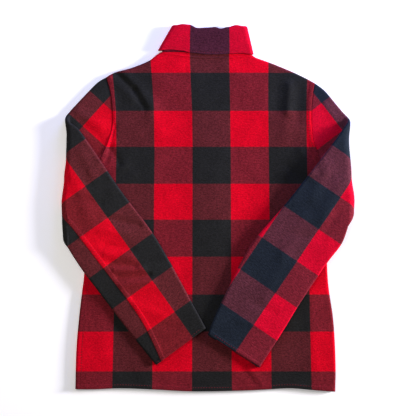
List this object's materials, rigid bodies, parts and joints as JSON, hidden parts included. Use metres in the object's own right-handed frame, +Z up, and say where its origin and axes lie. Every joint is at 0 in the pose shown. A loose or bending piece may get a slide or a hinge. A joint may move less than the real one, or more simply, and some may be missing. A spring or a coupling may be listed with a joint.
{
  "type": "plaid jacket",
  "caption": "Hip-length wool jacket in a red and black check, laid face down with both sleeves folded over its back.",
  "frame": {"origin": "on the surface the jacket lies on, at the middle of its bounding box", "axes": "+X to the right when looking down on its back with the collar away, +Y toward the collar, +Z up"},
  "size_m": [0.5849, 0.7359, 0.0271],
  "materials": {
    "wool_body": "matte",
    "wool_sleeve": "matte",
    "wool_collar": "matte",
    "button": "satin"
  },
  "bodies": {
    "root": {"back": "wool_body", "front_left": "wool_body", "front_right": "wool_body", "sleeve_left": "wool_sleeve", "sleeve_right": "wool_sleeve", "collar": "wool_collar", "button_1": "button", "button_2": "button", "button_3": "button", "button_4": "button", "button_5": "button"}
  },
  "joints": []
}
